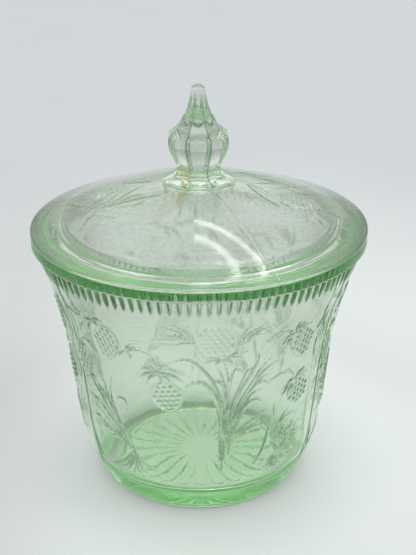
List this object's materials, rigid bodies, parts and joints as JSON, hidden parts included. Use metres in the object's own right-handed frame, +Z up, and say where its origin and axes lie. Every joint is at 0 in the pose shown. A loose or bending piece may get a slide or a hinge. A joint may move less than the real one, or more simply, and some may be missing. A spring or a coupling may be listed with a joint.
{
  "type": "covered candy dish",
  "caption": "Flared round pressed-glass candy dish in clear green, with a domed lift-off cover and a faceted spire knob.",
  "frame": {"origin": "centre of the ring that the dish stands on, at table height", "axes": "+Z up along the axis of the dish and its cover, -Y the side that faces the viewer, with a flat of the knob towards it"},
  "size_m": [0.14, 0.14, 0.1719],
  "materials": {
    "green_glass": "fire-polished, clear, pressed relief"
  },
  "bodies": {
    "jar": {"jar": "green_glass"},
    "cover": {"cover": "green_glass"}
  },
  "joints": [
    {"name": "cover_lift", "type": "slide", "parent": "jar", "child": "cover", "axis": [0, 0, 1], "range_m": [0, 0.12]}
  ]
}
